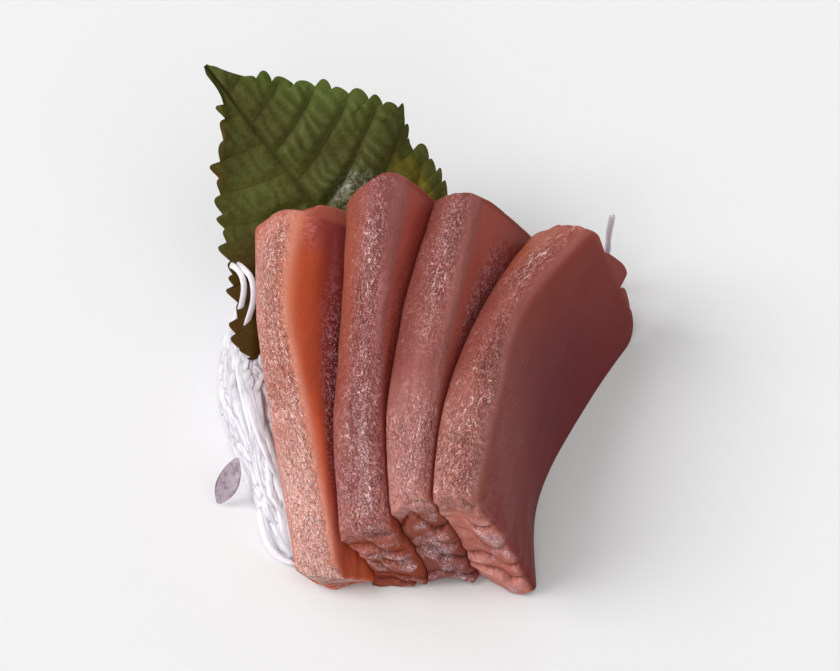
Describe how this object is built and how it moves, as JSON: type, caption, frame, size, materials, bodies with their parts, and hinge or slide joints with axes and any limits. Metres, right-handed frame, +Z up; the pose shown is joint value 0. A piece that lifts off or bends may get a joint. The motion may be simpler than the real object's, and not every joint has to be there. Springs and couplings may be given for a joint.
{
  "type": "sliced raw fish serving with leaf and shredded radish",
  "caption": "Thick slices of raw red fish standing on edge and fanned against each other, with a toothed green leaf behind and a heap of fine white radish threads beside.",
  "frame": {"origin": "bottom centre of the serving's bounding box, on the surface that it lies on", "axes": "+Z up; +Y along the slices, from their layered front ends to the leaf behind; +X to the right, away from the leaf, so the slices lean towards -X"},
  "size_m": [0.0746, 0.0866, 0.0385],
  "materials": {
    "fish": "wet raw fish flesh, reddish brown with fine pale fibres and small glints",
    "fish_bright": "wet raw fish flesh, translucent orange red on the cut face",
    "leaf": "dark green leaf with fine veins and a dull sheen",
    "radish": "moist translucent white radish threads",
    "radish_shaded": "moist grey mauve slip of radish"
  },
  "bodies": {
    "root": {"slice_1": "fish_bright", "slice_2": "fish", "slice_3": "fish", "slice_4": "fish", "shiso_leaf": "leaf", "daikon_bed": "radish", "daikon_strand": "radish", "daikon_curl": "radish_shaded"}
  },
  "joints": []
}
